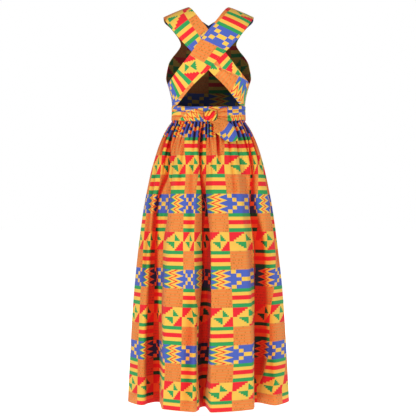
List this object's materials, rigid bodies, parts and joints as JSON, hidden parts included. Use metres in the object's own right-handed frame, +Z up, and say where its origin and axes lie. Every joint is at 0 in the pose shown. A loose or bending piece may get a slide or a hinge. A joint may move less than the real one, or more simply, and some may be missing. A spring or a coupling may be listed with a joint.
{
  "type": "maxi dress",
  "caption": "Sleeveless floor-length dress in a bright patchwork-look print, with a gathered skirt, crossed back straps and a sash tied behind.",
  "frame": {"origin": "midway between the tops of the two shoulders, where the wearer carries the dress", "axes": "+Z up along the wearer, +Y to the front of the dress, -Y to its back, +X to the right as the back is seen"},
  "size_m": [0.5698, 0.4507, 1.4011],
  "materials": {
    "front_bodice": "printed cotton, matt",
    "strap_over": "printed cotton, matt",
    "strap_under": "printed cotton, matt",
    "waistband": "printed cotton, matt",
    "skirt": "printed cotton, matt",
    "sash_left": "printed cotton, matt",
    "sash_right": "printed cotton, matt",
    "sash_knot": "printed cotton, matt",
    "sash_tail": "printed cotton, matt"
  },
  "bodies": {
    "root": {"front_bodice": "front_bodice", "strap_over": "strap_over", "strap_under": "strap_under", "waistband": "waistband", "skirt": "skirt", "sash_left": "sash_left", "sash_right": "sash_right", "sash_knot": "sash_knot", "sash_tail": "sash_tail"}
  },
  "joints": []
}
